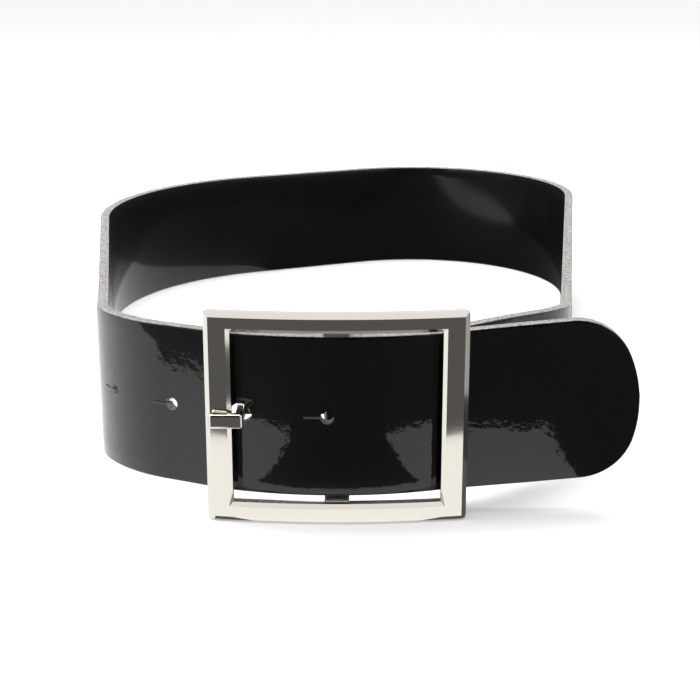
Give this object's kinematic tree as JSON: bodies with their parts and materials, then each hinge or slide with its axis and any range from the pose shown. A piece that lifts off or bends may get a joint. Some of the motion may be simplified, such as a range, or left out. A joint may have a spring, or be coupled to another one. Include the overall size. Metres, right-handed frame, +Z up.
{
  "type": "buckled dress belt",
  "caption": "Wide leather belt buckled in a standing loop, with a plain rectangular centre-bar frame buckle, a pivoting tongue and a folded, riveted buckle end.",
  "frame": {"origin": "bottom centre of the bounding box, on the floor the belt stands on", "axes": "+Z up along the strap's width, X to the right along the buckle's front, Y away from the buckle's front towards the back of the loop"},
  "size_m": [0.2216, 0.3656, 0.0664],
  "materials": {
    "patent_leather": "glossy black patent finish over a grey fibrous core",
    "lining_leather": "glossy black lining",
    "nickel_plate": "polished nickel plate",
    "bar_steel": "plain steel",
    "rivet_steel": "plain steel"
  },
  "bodies": {
    "strap": {"outer_ply": "patent_leather", "lining_ply": "lining_leather", "fold_post_upper": "rivet_steel", "fold_cap_upper": "rivet_steel", "fold_post_lower": "rivet_steel", "fold_cap_lower": "rivet_steel"},
    "buckle": {"buckle_frame": "nickel_plate", "centre_bar": "bar_steel"},
    "prong": {"tongue": "nickel_plate"}
  },
  "joints": [
    {"name": "frame_rock", "type": "hinge", "parent": "strap", "child": "buckle", "pos_m": [-0.00185, -0.17055, 0.0332], "axis": [0, 0, 1], "range_deg": [-1.5, 1.5]},
    {"name": "tongue_lift", "type": "hinge", "parent": "buckle", "child": "prong", "pos_m": [-0.00185, -0.17055, 0.0332], "axis": [0, 0, 1], "range_deg": [0, 2]}
  ]
}
